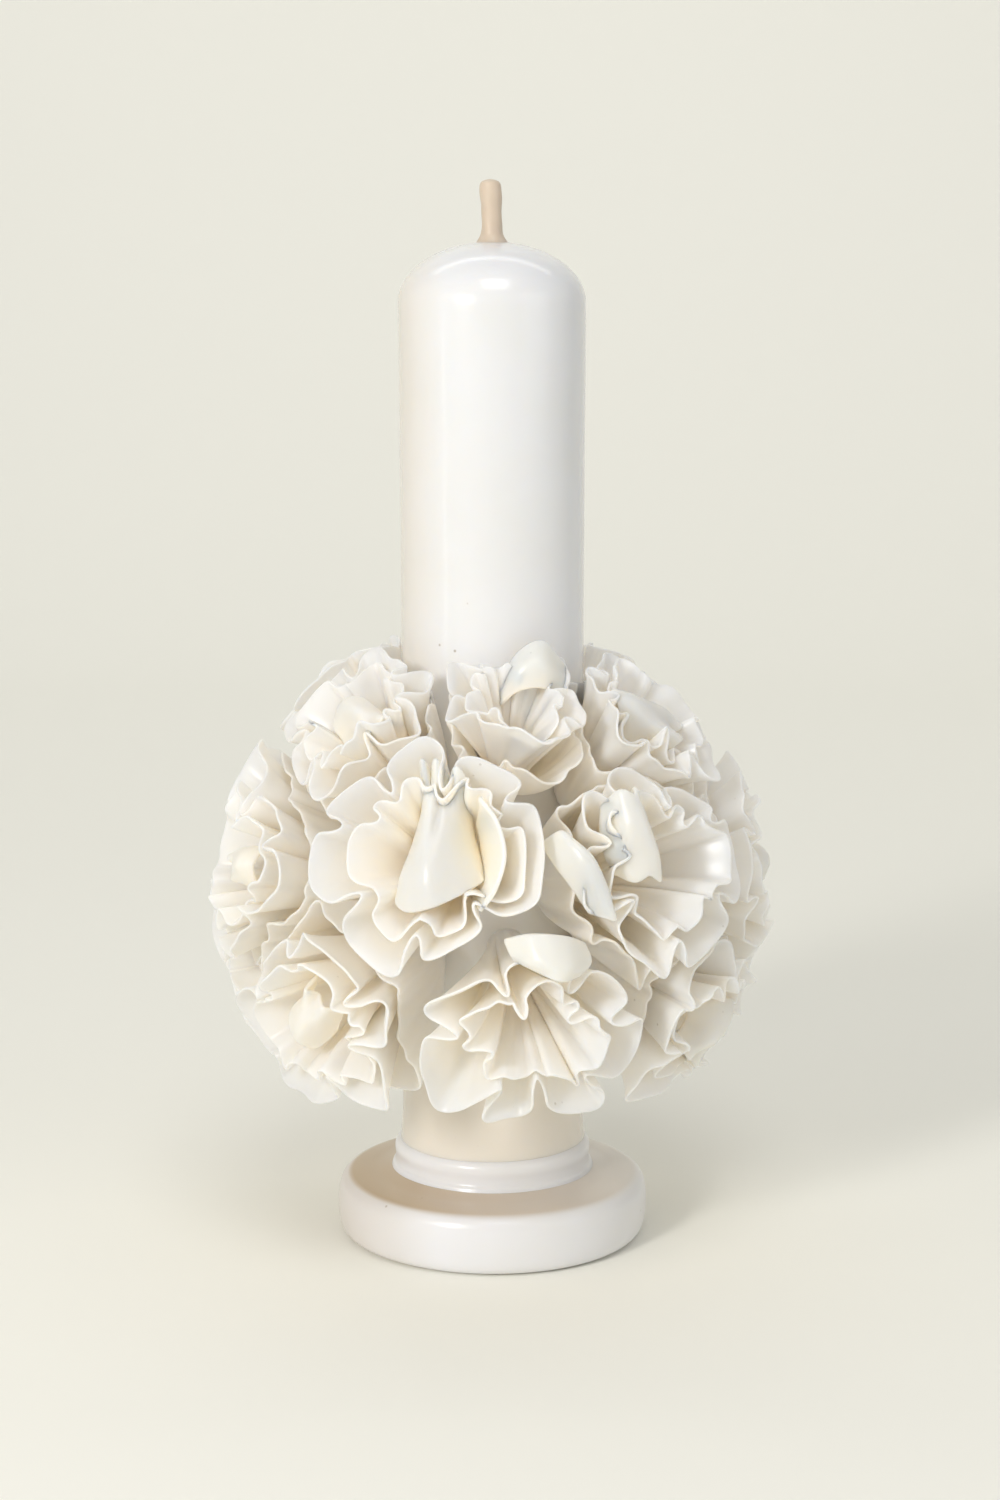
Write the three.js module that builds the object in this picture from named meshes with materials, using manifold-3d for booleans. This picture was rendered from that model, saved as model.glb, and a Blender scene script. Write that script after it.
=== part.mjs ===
// A wax wedding candle: a column on a round foot, with a ball of wax flowers round its lower half.
// Each flower is three fluted cups, nested, and its stalk meets the column.
// Millimetres, +Z up, origin at the centre of the foot's flat underside. The front faces -Y.
import * as THREE from "three";
import { mergeVertices } from "three/addons/utils/BufferGeometryUtils.js";
import Module from "manifold-3d";

const wasm = await Module();
wasm.setup();

// ---- driving dimensions ----
const GAP = 0.3; // clearance between pieces that touch
const ROUND = 48; // sides of the large turned pieces

const FOOT_R = 45.2; // the foot's bulge, at its widest
const FOOT_H = 20.5; // the foot's height at its crown, beside the column
const FOOT_FLAT_R = 34; // the flat underside
const FOOT_SHOULDER_R = 39; // where the top turns down into the side
const FOOT_CROWN = 1.4; // the fall of the top from the column to the shoulder
const FOOT_SIDE_ARC = 15; // degrees above the bulge where the shoulder's curve starts
const SOCKET_DEPTH = 6; // how deep the column is set into the foot

const COLUMN_R = 26;
const COLUMN_TOP = 286; // height of the dome above the ground
const DOME_H = 17; // height of the dome alone
const COLLAR_W = 2.2; // how far the wax roll stands out from the column
const COLLAR_H = 6.4;
const COLLAR_UNDERCUT = 70; // degrees below its middle where the roll meets the foot

const CORD_R = 1.5; // the cotton wick
const CORD_SIDES = 12;
const COAT_R = 3.1; // the wick's dipped coat
const WICK_STANDS = 17; // the coated wick above the dome
const COAT_FLARE = 1.5; // the coat's foot, spread on the dome
const COAT_SPREAD_H = 1.2; // where the spread has all but gone, above the dome
const COAT_FOOT_H = 3; // where the coat is at its thinnest, above the dome
const COAT_THIN = 0.93; // its thickness there, as a share of the tip's
const COAT_SWELL = 0.6; // where it begins to swell to the tip, as a share of its height
const COAT_SIDES = 16;

const BALL_Z = 100; // centre of the flower ball
const BALL_R = 79; // the outer cups' rims lie on a sphere of this radius
const BALL_LOW_Z = 49.5; // and come no lower than this
const CUP_WALL = 1.3; // thickness of the dipped wax
const NEIGHBOUR_GAP = 0.8; // from a cup to the boundary with the next flower
const SPREAD = 27; // degrees: the widest that a flower opens from its own axis
const LEAST_REACH = 2; // a cup's reach beside the column is shortened to this at most
const REACH_STEP = 0.5;
const STALK_R = 5.5; // the pinched stalk of an outer cup, where it meets the column
const SEAT_RISE = 3; // the wax dab between the column and the bottom of an outer cup
const NEST_RISE = 9; // how much higher each nested cup starts
const RIM_STEP = 0.5; // how much lower each nested cup's rim ends
const OUTER_FOLD = 0.3; // depth of the folds between lobes, as a share of the reach
const INNER_FOLD = 0.28;
const HEART_FOLD = 0.2;
const NEST_SHARE = 0.84; // a nested cup's reach, as a share of the space inside the folds round it
const FOLD_SHARPNESS = 1.4; // above 1 the lobes are broad and the folds narrow
const FLARE_POWER = 0.85; // below 1 a cup opens quickest near its bottom
const CUP_LEAST_H = 12; // the least depth of a cup
const TURN_STEP = 2.4; // radians: each flower's lobes are turned by this from the last one's
const CUP_STEPS = 2; // rings between a cup's bottom and its rim
const LOBE_SIDES = 5; // sides to each lobe

// name, degrees round from the front, degrees above the horizon
const FLOWERS = [
  ["upper_flower_1", -46, 49],
  ["upper_flower_2", 9, 56],
  ["upper_flower_3", 58, 48],
  ["upper_flower_4", 142, 48],
  ["upper_flower_5", -131, 48],
  ["middle_flower_1", -68, 11],
  ["middle_flower_2", -12, 21],
  ["middle_flower_3", 38, 17],
  ["middle_flower_4", 87, 8],
  ["middle_flower_5", 139, 14],
  ["middle_flower_6", -170, 12],
  ["middle_flower_7", -120, 13],
  ["lower_flower_1", -43, -17],
  ["lower_flower_2", 8, -16],
  ["lower_flower_3", 60, -24],
  ["lower_flower_4", 114, -23],
  ["lower_flower_5", 172, -24],
  ["lower_flower_6", -103, -24],
];

const WAX = { color: 0xf3ecd8, roughness: 0.4, metalness: 0 };
const SHADED_WAX = { color: 0xefe6cf, roughness: 0.45, metalness: 0 };
const COTTON = { color: 0xd8c8ac, roughness: 0.9, metalness: 0 };

// ---- helpers ----
const degrees = THREE.MathUtils.degToRad;

function piece(name, geometry, look) {
  const mesh = new THREE.Mesh(geometry, new THREE.MeshStandardMaterial(look));
  mesh.name = name;
  return mesh;
}

// A profile of [radius, height] points turned about +Z. It starts and ends on the axis, or closes
// on itself.
function turned(profile, sides) {
  const points = profile.map(([r, z]) => new THREE.Vector2(r, z));
  return new THREE.LatheGeometry(points, sides).rotateX(Math.PI / 2);
}

// Part of an ellipse about [r, z], from one angle to another in degrees.
function arc(r, z, wide, high, from, to, steps) {
  return Array.from({ length: steps + 1 }, (_, i) => {
    const a = degrees(from + ((to - from) * i) / steps);
    return [r + wide * Math.cos(a), z + high * Math.sin(a)];
  });
}

function solidOf(geometry) {
  const bare = new THREE.BufferGeometry();
  bare.setAttribute("position", geometry.getAttribute("position"));
  bare.setIndex(geometry.index);
  const merged = mergeVertices(bare, 1e-4);
  return new wasm.Manifold(
    new wasm.Mesh({
      numProp: 3,
      vertProperties: merged.attributes.position.array,
      triVerts: new Uint32Array(merged.index.array),
    }),
  );
}

function geometryOf(solid) {
  const mesh = solid.getMesh();
  const position = new THREE.BufferAttribute(mesh.vertProperties, mesh.numProp);
  const geometry = new THREE.BufferGeometry().setAttribute("position", position);
  return geometry.setIndex(new THREE.BufferAttribute(mesh.triVerts, 1));
}

// ---- the foot, the column and the wick ----
function foot() {
  const bulgeZ = FOOT_H / 2;
  const shoulderZ = FOOT_H - FOOT_CROWN;
  const socketZ = FOOT_H - SOCKET_DEPTH;
  return turned(
    [
      [0, 0],
      ...arc(FOOT_FLAT_R, bulgeZ, FOOT_R - FOOT_FLAT_R, bulgeZ, -90, 0, 5),
      ...arc(FOOT_SHOULDER_R, bulgeZ, FOOT_R - FOOT_SHOULDER_R, shoulderZ - bulgeZ, FOOT_SIDE_ARC, 90, 4),
      [COLUMN_R + GAP, FOOT_H],
      [COLUMN_R + GAP, socketZ],
      [0, socketZ],
    ],
    ROUND,
  );
}

function collar() {
  const inside = COLUMN_R + GAP;
  const bottom = FOOT_H + GAP;
  const middle = bottom + COLLAR_H / 2;
  return turned(
    [
      [inside, bottom],
      ...arc(inside, middle, COLLAR_W, COLLAR_H / 2, -COLLAR_UNDERCUT, 90, 5),
      [inside, bottom],
    ],
    ROUND,
  );
}

function column() {
  const bottom = FOOT_H - SOCKET_DEPTH + GAP;
  const bore = CORD_R + GAP;
  const shoulder = COLUMN_TOP - DOME_H;
  const lip = THREE.MathUtils.radToDeg(Math.acos(bore / COLUMN_R));
  return turned(
    [
      [bore, bottom],
      [COLUMN_R, bottom],
      ...arc(0, shoulder, COLUMN_R, DOME_H, 0, lip, 8),
      [bore, bottom],
    ],
    ROUND,
  );
}

function cord() {
  const bottom = FOOT_H - SOCKET_DEPTH + GAP;
  const top = COLUMN_TOP + WICK_STANDS - COAT_R;
  return turned(
    [
      [0, bottom],
      [CORD_R, bottom],
      [CORD_R, top],
      [0, top],
    ],
    CORD_SIDES,
  );
}

function coat() {
  const bore = CORD_R + GAP;
  const spread = COAT_R + COAT_FLARE;
  const domeAt = (r) => COLUMN_TOP - DOME_H + DOME_H * Math.sqrt(1 - (r / COLUMN_R) ** 2);
  const tip = COLUMN_TOP + WICK_STANDS;
  const boreTop = tip - COAT_R + GAP;
  return turned(
    [
      [bore, domeAt(bore) + GAP],
      [spread, domeAt(spread) + GAP],
      [COAT_R + COAT_FLARE / 4, COLUMN_TOP + COAT_SPREAD_H],
      [COAT_R * COAT_THIN, COLUMN_TOP + COAT_FOOT_H],
      [COAT_R * COAT_THIN, COLUMN_TOP + WICK_STANDS * COAT_SWELL],
      ...arc(0, tip - COAT_R, COAT_R, COAT_R, 0, 90, 4),
      [0, boreTop],
      [bore, boreTop],
      [bore, domeAt(bore) + GAP],
    ],
    COAT_SIDES,
  );
}

// ---- the flowers ----
const CENTRE = new THREE.Vector3(0, 0, BALL_Z);

// A flower's own frame: z out along its axis, x level to the right and y upwards, seen from outside.
const flowers = FLOWERS.map(([name, round, above], number) => {
  const a = degrees(round);
  const e = degrees(above);
  const axis = new THREE.Vector3(Math.sin(a) * Math.cos(e), -Math.cos(a) * Math.cos(e), Math.sin(e));
  const right = new THREE.Vector3(Math.cos(a), Math.sin(a), 0);
  const up = new THREE.Vector3().crossVectors(axis, right);
  return { name, number, axis, right, up, seat: COLUMN_R / Math.cos(e) };
});

function placeOf(flower, angle, radius, out) {
  return CENTRE.clone()
    .addScaledVector(flower.axis, out)
    .addScaledVector(flower.right, radius * Math.cos(angle))
    .addScaledVector(flower.up, radius * Math.sin(angle));
}

// The largest radius that a cup may have at a distance out along its axis, clear of the next
// flowers and of the column, and above the ball's lowest height.
function room(flower, angle, out) {
  const side = flower.right
    .clone()
    .multiplyScalar(Math.cos(angle))
    .addScaledVector(flower.up, Math.sin(angle));
  let radius = out * Math.tan(degrees(SPREAD));
  for (const other of flowers) {
    const lean = side.dot(other.axis);
    if (other !== flower && lean > 0)
      radius = Math.min(radius, (out * (1 - flower.axis.dot(other.axis))) / lean);
  }
  radius -= NEIGHBOUR_GAP;
  const touches = (r) => {
    const p = placeOf(flower, angle, r, out);
    return Math.hypot(p.x, p.y) < COLUMN_R + 2 * GAP || p.z < BALL_LOW_Z;
  };
  while (radius > LEAST_REACH && out > flower.seat + SEAT_RISE && touches(radius)) radius -= REACH_STEP;
  return radius;
}

// One fluted cup. Its rim has rounded lobes with folds between them, and its inside follows its
// outside at the wall's thickness. Below the bottom it tapers to a tip, which stands in the column's
// side or on the floor of the cup round it.
function cup(flower, { lobes, fold, reach, tip, bottom, rim, stalk }) {
  const sides = lobes * LOBE_SIDES;
  const turn = flower.number * TURN_STEP;
  const rimOut = (angle) => {
    const r = reach(angle, rim);
    return Math.sqrt(Math.max(rim * rim - r * r, (bottom + CUP_LEAST_H) ** 2));
  };
  const at = (share, side, inset) => {
    const angle = turn + (2 * Math.PI * side) / sides;
    const valley = ((1 + Math.cos((2 * Math.PI * side) / LOBE_SIDES)) / 2) ** FOLD_SHARPNESS;
    const out = bottom + (rimOut(angle) - bottom) * share;
    const widest = reach(angle, rimOut(angle)) * (1 - fold * valley * share);
    const radius = stalk + (widest - stalk) * share ** FLARE_POWER - inset;
    return [radius * Math.cos(angle), radius * Math.sin(angle), out];
  };
  const rings = [];
  for (let i = 0; i <= CUP_STEPS; i++) rings.push(["outside", i / CUP_STEPS]);
  for (let i = CUP_STEPS; i >= 1; i--) rings.push(["inside", i / CUP_STEPS]);
  const points = [[0, 0, tip]];
  for (const [skin, share] of rings)
    for (let side = 0; side < sides; side++) points.push(at(share, side, skin === "inside" ? CUP_WALL : 0));
  const floor = points.length;
  points.push([0, 0, bottom + CUP_WALL]);
  const faces = [];
  for (let side = 0; side < sides; side++) {
    const next = (side + 1) % sides;
    faces.push([0, 1 + next, 1 + side]);
    for (let ring = 0; ring < rings.length - 1; ring++) {
      const low = 1 + ring * sides;
      const high = low + sides;
      faces.push([low + side, low + next, high + next], [low + side, high + next, high + side]);
    }
    const inner = 1 + (rings.length - 1) * sides;
    faces.push([inner + side, inner + next, floor]);
  }
  const geometry = new THREE.BufferGeometry();
  geometry.setAttribute("position", new THREE.BufferAttribute(new Float32Array(points.flat()), 3));
  return geometry.setIndex(faces.flat());
}

const columnCutter = solidOf(
  turned(
    [
      [0, FOOT_H],
      [COLUMN_R + GAP, FOOT_H],
      [COLUMN_R + GAP, COLUMN_TOP],
      [0, COLUMN_TOP],
    ],
    ROUND,
  ),
);

function flowerPieces(flower) {
  const frame = new THREE.Matrix4().makeBasis(flower.right, flower.up, flower.axis).setPosition(CENTRE);
  // What is left for the next cup inside one of that reach and fold.
  const within = (reach, fold) => (angle, out) => (reach(angle, out) * (1 - fold) - CUP_WALL) * NEST_SHARE;
  const outerReach = (angle, out) => room(flower, angle, out);
  const innerReach = within(outerReach, OUTER_FOLD);
  const heartReach = within(innerReach, INNER_FOLD);
  const bottom = flower.seat + SEAT_RISE;
  const layers = [
    { suffix: "outer_cup", look: WAX, lobes: 6, fold: OUTER_FOLD, reach: outerReach, stalk: STALK_R },
    { suffix: "inner_cup", look: WAX, lobes: 4, fold: INNER_FOLD, reach: innerReach, stalk: STALK_R / 2 },
    { suffix: "heart", look: SHADED_WAX, lobes: 3, fold: HEART_FOLD, reach: heartReach, stalk: STALK_R / 3 },
  ];
  return layers.map(({ suffix, look, ...shape }, level) => {
    const heights = {
      tip: level === 0 ? bottom - STALK_R : bottom + (level - 1) * NEST_RISE + CUP_WALL + GAP,
      bottom: bottom + level * NEST_RISE,
      rim: BALL_R - level * RIM_STEP,
    };
    const body = cup(flower, { ...shape, ...heights }).applyMatrix4(frame);
    return piece(`${flower.name}_${suffix}`, geometryOf(solidOf(body).subtract(columnCutter)), look);
  });
}

// ---- the candle ----
const candle = new THREE.Group();
candle.add(
  piece("base_disc", foot(), WAX),
  piece("base_collar", collar(), WAX),
  piece("candle_column", column(), WAX),
  piece("wick_cord", cord(), COTTON),
  piece("wick_coat", coat(), SHADED_WAX),
);
for (const flower of flowers) candle.add(...flowerPieces(flower));

export default candle;
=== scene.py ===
"""A wax wedding candle on a round foot, with a ball of fluted wax flowers round its lower half."""

import math

import bpy
import numpy as np
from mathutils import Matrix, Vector


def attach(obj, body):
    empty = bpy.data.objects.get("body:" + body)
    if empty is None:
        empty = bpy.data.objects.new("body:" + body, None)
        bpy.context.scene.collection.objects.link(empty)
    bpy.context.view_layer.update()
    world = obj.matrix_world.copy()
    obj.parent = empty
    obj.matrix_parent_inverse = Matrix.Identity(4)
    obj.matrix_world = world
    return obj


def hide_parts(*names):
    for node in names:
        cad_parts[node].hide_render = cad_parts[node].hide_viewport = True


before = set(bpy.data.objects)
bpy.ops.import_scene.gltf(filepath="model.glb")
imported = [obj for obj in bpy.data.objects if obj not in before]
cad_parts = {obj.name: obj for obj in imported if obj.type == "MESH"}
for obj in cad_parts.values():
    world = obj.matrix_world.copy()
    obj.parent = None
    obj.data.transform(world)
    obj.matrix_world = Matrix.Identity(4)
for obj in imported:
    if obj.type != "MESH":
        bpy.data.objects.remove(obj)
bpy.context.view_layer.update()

# ---- the foot ----
# A thick disc of solid wax with a rounded, bulging side and an almost flat top. It was cast and
# then dipped, so the edges are soft, the side is a little uneven and the surface has a satin skin.
MM = 0.001
FOOT_R = 45.2
FOOT_H = 20.5
FOOT_TOP_INNER_R = 27.0
FOOT_SIDES = 160


def srgb(red, green, blue):
    """A colour given as 0 to 255 on a screen, as the linear colour that a shader takes."""
    linear = []
    for channel in (red, green, blue):
        c = channel / 255
        linear.append(c / 12.92 if c <= 0.04045 else ((c + 0.055) / 1.055) ** 2.4)
    return (*linear, 1.0)


def wax_marks_group():
    """Shared marks of dipped wax: cloudy tint, fine pits and specks, and a slow ripple."""
    group = bpy.data.node_groups.new("wax_marks", "ShaderNodeTree")
    for name, kind in (
        ("Base", "NodeSocketColor"),
        ("Cloud", "NodeSocketColor"),
        ("Speck", "NodeSocketColor"),
        ("Speck Amount", "NodeSocketFloat"),
        ("Roughness", "NodeSocketFloat"),
    ):
        group.interface.new_socket(name, in_out="INPUT", socket_type=kind)
    for name, kind in (
        ("Color", "NodeSocketColor"),
        ("Roughness", "NodeSocketFloat"),
        ("Height", "NodeSocketFloat"),
    ):
        group.interface.new_socket(name, in_out="OUTPUT", socket_type=kind)
    node, link = group.nodes.new, group.links.new
    given, result = node("NodeGroupInput"), node("NodeGroupOutput")
    where = node("ShaderNodeTexCoord").outputs["Object"]

    def noise(scale, detail):
        made = node("ShaderNodeTexNoise")
        made.inputs["Scale"].default_value = scale
        made.inputs["Detail"].default_value = detail
        link(where, made.inputs["Vector"])
        return made.outputs["Fac"]

    def spread(value, low, high, to_low=0.0, to_high=1.0):
        made = node("ShaderNodeMapRange")
        for socket, number in zip(("From Min", "From Max", "To Min", "To Max"), (low, high, to_low, to_high)):
            made.inputs[socket].default_value = number
        link(value, made.inputs["Value"])
        return made.outputs["Result"]

    def math_node(kind, first, second):
        made = node("ShaderNodeMath")
        made.operation = kind
        for socket, value in zip(made.inputs, (first, second)):
            if isinstance(value, (int, float)):
                socket.default_value = value
            else:
                link(value, socket)
        return made.outputs[0]

    def mixed(factor, first, second):
        made = node("ShaderNodeMix")
        made.data_type = "RGBA"
        link(factor, made.inputs["Factor"])
        link(first, made.inputs["A"])
        link(second, made.inputs["B"])
        return made.outputs["Result"]

    cloud = spread(noise(24, 3), 0.3, 0.75)
    clouded = mixed(cloud, given.outputs["Base"], given.outputs["Cloud"])

    pits = node("ShaderNodeTexVoronoi")
    pits.inputs["Scale"].default_value = 210
    link(where, pits.inputs["Vector"])
    pit = spread(pits.outputs["Distance"], 0.05, 0.11, 1.0, 0.0)
    scarce = spread(noise(55, 1), 0.64, 0.68)
    speck = math_node("MULTIPLY", pit, scarce)
    amount = math_node("MULTIPLY", speck, given.outputs["Speck Amount"])
    link(mixed(amount, clouded, given.outputs["Speck"]), result.inputs["Color"])

    matt = spread(noise(60, 1), 0.2, 0.8, -0.03, 0.03)
    link(math_node("ADD", given.outputs["Roughness"], matt), result.inputs["Roughness"])

    sunk = math_node("MULTIPLY", speck, -0.3)
    link(math_node("ADD", noise(45, 1), sunk), result.inputs["Height"])
    return group


wax_marks = wax_marks_group()


def wax_material(
    name, base, cloud, rough, specks, painted_light=None, glow=0.6, scatter=5.0, gloss=0.12, polish=0.22
):
    """Dipped wax that light sinks into: glow is how much of it does and scatter how far, in mm.
    depth is a warmer, darker tint laid on by the piece's own depth attribute: painted shade deep in
    the flowers' throats and on the pillar's neck, painted shade and a warm painted reflection on the
    foot's top, and painted warm light on the left of the pillar and the foot. gloss is the share of a
    shiny outer skin, and polish that skin's roughness."""
    material = bpy.data.materials.new(name)
    material.use_nodes = True
    nodes, link = material.node_tree.nodes, material.node_tree.links.new
    surface = nodes["Principled BSDF"]
    marks = nodes.new("ShaderNodeGroup")
    marks.node_tree = wax_marks
    marks.inputs["Base"].default_value = srgb(*base)
    marks.inputs["Cloud"].default_value = srgb(*cloud)
    marks.inputs["Speck"].default_value = srgb(150, 132, 108)
    marks.inputs["Speck Amount"].default_value = specks
    marks.inputs["Roughness"].default_value = rough
    colour = marks.outputs["Color"]
    # The tint of painted shade and painted warm light, as much as the piece's attribute says.
    if painted_light is not None:
        deep = nodes.new("ShaderNodeAttribute")
        deep.attribute_name = "painted_light"
        tint = nodes.new("ShaderNodeMix")
        tint.data_type = "RGBA"
        tint.inputs["B"].default_value = srgb(*painted_light)
        link(deep.outputs["Fac"], tint.inputs["Factor"])
        link(colour, tint.inputs["A"])
        colour = tint.outputs["Result"]
    link(colour, surface.inputs["Base Color"])
    link(marks.outputs["Roughness"], surface.inputs["Roughness"])
    surface.inputs["Subsurface Weight"].default_value = glow
    surface.inputs["Subsurface Radius"].default_value = (1.0, 0.86, 0.68)
    surface.inputs["Subsurface Scale"].default_value = scatter * MM
    surface.inputs["Specular IOR Level"].default_value = 0.42
    surface.inputs["Coat Weight"].default_value = gloss
    surface.inputs["Coat Roughness"].default_value = polish
    bump = nodes.new("ShaderNodeBump")
    bump.inputs["Strength"].default_value = 0.15
    bump.inputs["Distance"].default_value = 0.5 * MM
    link(marks.outputs["Height"], bump.inputs["Height"])
    link(bump.outputs["Normal"], surface.inputs["Normal"])
    return material


def mesh_piece(name, points_mm, faces, material, nodes, painted_light=None):
    """A smooth mesh from points in millimetres, which stands for those nodes of the frame."""
    mesh = bpy.data.meshes.new(name)
    mesh.from_pydata([tuple(p) for p in np.asarray(points_mm) * MM], [], faces)
    mesh.polygons.foreach_set("use_smooth", [True] * len(mesh.polygons))
    # How much of its material's painted shade and painted warm light each point gets.
    if painted_light is not None:
        tint = mesh.attributes.new("painted_light", "FLOAT", "POINT")
        tint.data.foreach_set("value", np.asarray(painted_light, np.float32))
    mesh.materials.append(material)
    mesh.update()
    piece = bpy.data.objects.new(name, mesh)
    bpy.context.scene.collection.objects.link(piece)
    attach(piece, "root")
    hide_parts(*nodes)


def curved_steps(a, b, c, d, steps):
    """Points from b towards c on a smooth curve that also passes through a and d."""
    return [
        0.5 * (2 * b + (c - a) * t + (2 * a - 5 * b + 4 * c - d) * t**2 + (3 * b - a - 3 * c + d) * t**3)
        for t in np.arange(steps) / steps
    ]


def smooth_profile(corners, steps):
    """A smooth open curve through (radius, height) corners."""
    p = np.array([corners[0], *corners, corners[-1]], float)
    curve = []
    for i in range(1, len(p) - 2):
        curve += curved_steps(*p[i - 1 : i + 3], steps)
    return np.array([*curve, p[-2]])


def ring_faces(rings, sides):
    """Four-sided faces that join each ring of points to the next."""
    faces = []
    for start in range(0, (rings - 1) * sides, sides):
        for k in range(sides):
            n = (k + 1) % sides
            faces.append((start + k, start + n, start + sides + n, start + sides + k))
    return faces


def bottom_fan(middle, sides):
    """Faces that close the first ring with a point below it."""
    return [(middle, (k + 1) % sides, k) for k in range(sides)]


def top_fan(middle, rings, sides):
    """Faces that close the last ring with a point above it."""
    top = (rings - 1) * sides
    return [(middle, top + k, top + (k + 1) % sides) for k in range(sides)]


def turned(profile, sides, uneven):
    """Turns a profile about the candle's axis, closing it where it starts or ends on the axis.
    uneven(angle, height) is a scale of the radius."""
    angles = np.arange(sides) * 2 * math.pi / sides
    starts_on_axis, ends_on_axis = profile[0][0] < 1e-6, profile[-1][0] < 1e-6
    body = profile[1 if starts_on_axis else 0 : -1 if ends_on_axis else None]
    points, faces = [], ring_faces(len(body), sides)
    for r, z in body:
        scaled = r * uneven(angles, z)
        points.extend(np.column_stack([scaled * np.sin(angles), -scaled * np.cos(angles), np.full(sides, z)]))
    if starts_on_axis:
        points.append((0, 0, profile[0][1]))
        faces += bottom_fan(len(points) - 1, sides)
    if ends_on_axis:
        points.append((0, 0, profile[-1][1]))
        faces += top_fan(len(points) - 1, len(body), sides)
    return np.array(points, float), faces


# The tan tint given to foot_wax is painted shade and warm reflection on the foot's top and painted warm light
# on its left; the collar, which has no tint attribute, gets none of it.
foot_wax = wax_material(
    "foot_wax",
    (233, 233, 237),
    (229, 228, 227),
    0.3,
    0.5,
    painted_light=(186, 160, 122),
    scatter=2.0,
    glow=0.25,
    gloss=0.4,
)

foot_side = smooth_profile(
    [
        (38.0, 0.0),
        (41.6, 0.4),
        (43.9, 1.9),
        (44.9, 4.8),
        (FOOT_R, 9.0),
        (45.0, 12.6),
        (44.4, 15.2),
        (43.1, 16.9),
        (41.0, 17.8),
        (37.0, 18.4),
        (33.0, 18.9),
        (FOOT_TOP_INNER_R, FOOT_H),
    ],
    6,
)
foot_profile = [(0.0, 0.0), (16.0, 0.0), *foot_side, (14.0, FOOT_H), (0.0, FOOT_H)]


def foot_wander(angle, height):
    """Slow unevenness of the cast side, as a scale of its radius."""
    return 1 + 0.004 * np.sin(2 * angle + 0.7) + 0.0025 * np.sin(3 * angle + height * 0.1)


foot_points, foot_faces = turned(foot_profile, FOOT_SIDES, foot_wander)
# The flat top carries painted shade and a warm painted reflection from the flowers above, most of all
# on the left, and the left of the side carries painted warm light.
from_middle = np.hypot(foot_points[:, 0], foot_points[:, 1])
on_top = np.clip((foot_points[:, 2] - 16.6) / 1.2, 0, 1) * np.clip((44.0 - from_middle) / 2.5, 0, 1)
foot_left = np.clip(-foot_points[:, 0] / FOOT_R - 0.35, 0, 1) * 0.55
foot_painted_light = np.maximum(on_top * (0.62 - 0.38 * foot_points[:, 0] / FOOT_R), foot_left)
mesh_piece("foot_disc", foot_points, foot_faces, foot_wax, ["base_disc"], foot_painted_light)

# ---- the column ----
# The pillar itself: a dipped wax cylinder with a soft domed top that sags from many dips. It is
# very slightly fuller near the top, wanders by a few tenths of a millimetre, and spreads a little
# at the bottom, where it runs down into the collar.
COLUMN_R = 26.0
COLUMN_TOP = 286.0
DOME_H = 17.0
COLUMN_SIDES = 144

# The warm tint given to column_wax is painted warm light on the pillar's left and painted shade on its neck.
column_wax = wax_material(
    "column_wax",
    (231, 232, 236),
    (228, 228, 227),
    0.24,
    0.6,
    painted_light=(230, 213, 182),
    scatter=3.0,
    glow=0.5,
    gloss=0.5,
    polish=0.12,
)

dome_foot = COLUMN_TOP - DOME_H
dome = [(COLUMN_R * math.cos(a), dome_foot + DOME_H * math.sin(a)) for a in np.radians(np.arange(4, 86, 4))]
column_profile = [(0.0, 15.0), (COLUMN_R - 0.2, 15.0), (COLUMN_R - 0.2, 26.0)]
column_profile += [(26.7, 27.2), (26.65, 28.4), (26.5, 30.0), (26.25, 32.5), (26.1, 35.0)]
column_profile += [(COLUMN_R, z) for z in np.arange(38.0, dome_foot + 0.1, 3.0)]
column_profile += [*dome, (0.0, COLUMN_TOP)]


def column_wander(angle, height):
    """The pillar's slow wander, its lumps and its fuller top, as a scale of its radius."""
    slow = 0.006 * np.sin(height * 0.021 + 0.6) + 0.0035 * np.sin(angle + height * 0.03)
    lumps = 0.003 * np.sin(3 * angle + height * 0.05 + 1.1) * np.sin(height * 0.09)
    fuller = 0.012 * (height - 150) / 150 * (height > 150)
    return 1 + fuller + slow + lumps


column_points, column_faces = turned(column_profile, COLUMN_SIDES, column_wander)
# The left of the pillar carries painted warm light, and the neck under the flowers carries painted shade.
column_left = np.clip(-column_points[:, 0] / COLUMN_R - 0.5, 0, 1) * 0.7
neck = np.clip((66 - column_points[:, 2]) / 14, 0, 1) * 0.45
column_painted_light = np.maximum(column_left, neck)
mesh_piece("candle_pillar", column_points, column_faces, column_wax, ["candle_column"], column_painted_light)

# ---- the collar ----
# A soft roll of wax that seals the pillar to the foot. It was run in by hand and smoothed while
# warm, so its top edge melts into the pillar and leaves only a shallow groove.
COLLAR_R = 28.4
COLLAR_TOP = 28.9
COLLAR_INNER_R = 25.4
COLLAR_SIDES = 144

collar_roll = [
    (29.4, 19.7),
    (29.0, 20.8),
    (28.4, 21.6),
    (28.2, 23.2),
    (COLLAR_R, 25.2),
    (28.2, 26.8),
    (27.3, 28.0),
    (25.8, COLLAR_TOP),
]
collar_start = (COLLAR_INNER_R, 20.0)


def collar_wander(angle, height):
    """The collar's unevenness from smoothing by hand, as a scale of its radius at any height."""
    return 1 + 0.006 * np.sin(2 * angle) + 0.003 * np.sin(5 * angle + 2)


collar_points, collar_faces = turned(
    [collar_start, *smooth_profile(collar_roll, 5), collar_start], COLLAR_SIDES, collar_wander
)
mesh_piece("foot_collar", collar_points, collar_faces, foot_wax, ["base_collar"])

# ---- the wick ----
# A braided cotton cord runs up the middle. Above the dome it was dipped with the candle, so it has
# a thick wax coat with a spread foot, and it leans a little to one side.
WICK_TIP = 303.0
WICK_SIDES = 28
WICK_LEAN = 0.002025
WICK_WOBBLE = 0.02


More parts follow.
